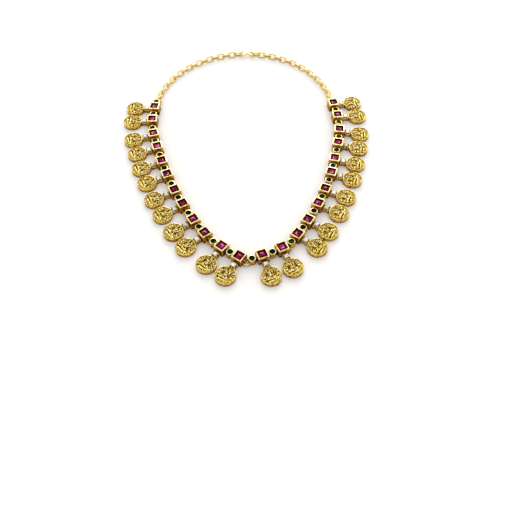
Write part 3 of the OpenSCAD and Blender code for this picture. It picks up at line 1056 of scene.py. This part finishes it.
def chain_gold():
    """The same gilding for plain wire, which is polished all round."""
    material, tree, surface = new_material("plain_gold")
    tree.links.new(ramp(tree, noise(tree, CHAIN_SCALE), CHAIN_GOLD), surface.inputs["Base Color"])
    surface.inputs["Metallic"].default_value = 1.0
    grain = maths(tree, "MULTIPLY", noise(tree, GRAIN_SCALE), CHAIN_GRAIN)
    tree.links.new(maths(tree, "ADD", grain, CHAIN_ROUGH), surface.inputs["Roughness"])
    return material


def gem(name, tones, ior, gloss):
    """A cut stone with its facets in several tones of one colour, from deep to bright: painted shade and
    reflections.
    """
    material, tree, surface = new_material(name)
    cloud = maths(tree, "SUBTRACT", noise(tree, CLOUD_SCALE), CLOUD_FROM)
    tone = maths(tree, "ADD", grime_and_shade_of(tree), maths(tree, "MULTIPLY", cloud, CLOUD_GAIN))
    tree.links.new(ramp(tree, tone, tones), surface.inputs["Base Color"])
    surface.inputs["Roughness"].default_value = STONE_ROUGH
    surface.inputs["IOR"].default_value = ior
    surface.inputs["Specular IOR Level"].default_value = gloss
    return material


def table_white():
    """Matt white board."""
    material, tree, surface = new_material("pale_table")
    tree.links.new(ramp(tree, noise(tree, TABLE_SCALE), TABLE_TONES), surface.inputs["Base Color"])
    surface.inputs["Roughness"].default_value = TABLE_ROUGH
    return material


# Pieces


def dress(thing, material, slot, *nodes):
    """Gives a piece its material and its place in the frame."""
    thing.data.materials.clear()
    thing.data.materials.append(material)
    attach(thing, "root")
    if nodes:
        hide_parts(*nodes)


def make_links(all_places, material):
    """The twelve castings."""
    box, box_slotted, cup = square_box(), slotted_box(), round_cup()
    ring, hook = eyelet(), hinge_hook()
    drop = join(stem(), claw_basket(), moved(coin(), y=-COIN_AT))
    for i, places in enumerate(all_places):
        shell = join(
            at_place(cup, places[0]), at_place(ring, places[0]),
            at_place(box, places[1]), at_place(cup, places[2]),
            at_place(box_slotted, places[3]), at_place(hook, places[3]),
            at_place(drop, places[1]), at_place(drop, places[3]), *bridges(places),
        )
        thing = object_from(f"casting_{i + 1:02d}", shell, MM)
        even = thing.modifiers.new("even_faces", "WEIGHTED_NORMAL")
        even.keep_sharp = True
        dress(thing, material, "gold", f"link_{i + 1:02d}")


def make_rubies(all_places, material):
    """The square stones, one by one."""
    draw = np.random.default_rng(RUBY_SEED)
    seat = BOX_SEAT_Z + STONE_GAP
    stations = [places[k] for places in all_places for k in BOX_STATIONS]
    for number, place in enumerate(stations, 1):
        stone = moved(square_stone(draw), z=seat)
        thing = object_from(f"square_stone_{number:02d}", at_place(stone, place), MM)
        dress(thing, material, "ruby", f"ruby_{number:02d}")


def round_stones(all_places, stations, radius, height, seat, out, ranges):
    """All round stones of one kind, as one shell."""
    draw = np.random.default_rng(ROUND_SEED)
    stones = []
    for places in all_places:
        for k in stations:
            usual_tone = draw.uniform(*ranges[0])
            rare_tone = draw.uniform(*ranges[1])
            stone = moved(round_stone(radius, height, draw, usual_tone, rare_tone), y=-out, z=seat)
            stones.append(at_place(stone, places[k]))
    return join(*stones)


def make_emeralds(all_places, material):
    """The green stones in the cups."""
    seat = CUP_SEAT_Z + STONE_GAP
    stones = round_stones(all_places, CUP_STATIONS, EMERALD_R, EMERALD_H, seat, 0.0, EMERALD_RANGES)
    dress(object_from("green_stones", stones, MM), material, "emerald", "emeralds")


def make_white_stones(all_places, material):
    """The white stones in the claw baskets."""
    seat = WHITE_SEAT_Z + STONE_GAP
    stones = round_stones(all_places, BOX_STATIONS, WHITE_R, WHITE_H, seat, BASKET_AT, WHITE_RANGES)
    dress(object_from("clear_stones", stones, MM), material, "white_stone", "white_stones")


def dress_chain(frame, material):
    """The back chains and the clasp stay as they are and get their gold."""
    for name in ("back_chain_right", "back_chain_left", "hook_clasp"):
        node = frame["nodes"][name]
        node.data.materials.clear()
        node.data.materials.append(material)
        node.data.shade_smooth()
        node.data.set_sharp_from_angle(angle=math.radians(CHAIN_EDGE_ANGLE))


# Camera and light


def make_camera():
    """The camera at the photograph's place and angle."""
    data = bpy.data.cameras.new("camera")
    data.sensor_width = SENSOR_W
    data.lens = CAMERA_LENS
    data.clip_start = CLIP_NEAR
    data.clip_end = CLIP_FAR
    thing = bpy.data.objects.new("camera", data)
    thing.location = Vector(CAMERA_AT) * MM
    tilt = Matrix.Rotation(math.radians(90 - CAMERA_DOWN), 4, "X")
    roll = Matrix.Rotation(math.radians(-CAMERA_ROLL), 4, "Z")
    thing.rotation_euler = (tilt @ roll).to_euler()
    bpy.context.scene.collection.objects.link(thing)
    bpy.context.scene.camera = thing


def mapped(tree, value, low, high, to_low, to_high):
    """The value eased from one range to another."""
    made = tree.nodes.new("ShaderNodeMapRange")
    made.interpolation_type = "SMOOTHSTEP"
    for socket, number in zip(made.inputs, (value, low, high, to_low, to_high)):
        feed(tree, socket, number)
    return made.outputs["Result"]


def make_table(material):
    """The board under the necklace."""
    bpy.ops.mesh.primitive_plane_add(size=TABLE_SIZE)
    table = bpy.context.object
    table.name = "table"
    table.data.materials.append(material)


def make_light():
    """A tent of light whose horizon is bright behind and dim in front, and a window behind."""
    world = bpy.data.worlds.new("studio")
    bpy.context.scene.world = world
    world.use_nodes = True
    tree = world.node_tree
    tree.nodes.clear()
    where = tree.nodes.new("ShaderNodeTexCoord")
    split = tree.nodes.new("ShaderNodeSeparateXYZ")
    tree.links.new(where.outputs["Generated"], split.inputs[0])
    horizon = mapped(tree, split.outputs["Y"], -1.0, 1.0, NEAR_GLOW, FAR_GLOW)
    tent = mapped(tree, split.outputs["Z"], 0.0, TENT_FULL_Z, horizon, TENT_GLOW)
    towards = tree.nodes.new("ShaderNodeVectorMath")
    towards.operation = "DOT_PRODUCT"
    tree.links.new(where.outputs["Generated"], towards.inputs[0])
    towards.inputs[1].default_value = Vector(WINDOW_WAY).normalized()
    facing = towards.outputs["Value"]
    window = mapped(tree, facing, WINDOW_EDGE, WINDOW_EDGE + WINDOW_FADE, 0.0, WINDOW_GLOW)
    total = tree.nodes.new("ShaderNodeMath")
    tree.links.new(tent, total.inputs[0])
    tree.links.new(window, total.inputs[1])
    glow = tree.nodes.new("ShaderNodeBackground")
    tree.links.new(total.outputs[0], glow.inputs["Strength"])
    glow.inputs["Color"].default_value = (1.0, 1.0, 1.0, 1)
    out = tree.nodes.new("ShaderNodeOutputWorld")
    tree.links.new(glow.outputs[0], out.inputs["Surface"])
    bpy.context.scene.view_settings.view_transform = "Standard"


def main():
    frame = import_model()
    make_camera()
    places = link_places(frame)
    make_links(places, gold())
    make_rubies(places, gem("ruby_red", RUBY_TONES, ior=1.5, gloss=0.04))
    make_emeralds(places, gem("emerald_green", EMERALD_TONES, ior=1.5, gloss=0.03))
    make_white_stones(places, gem("clear_white", WHITE_TONES, ior=1.8, gloss=0.4))
    dress_chain(frame, chain_gold())
    make_table(table_white())
    make_light()


main()
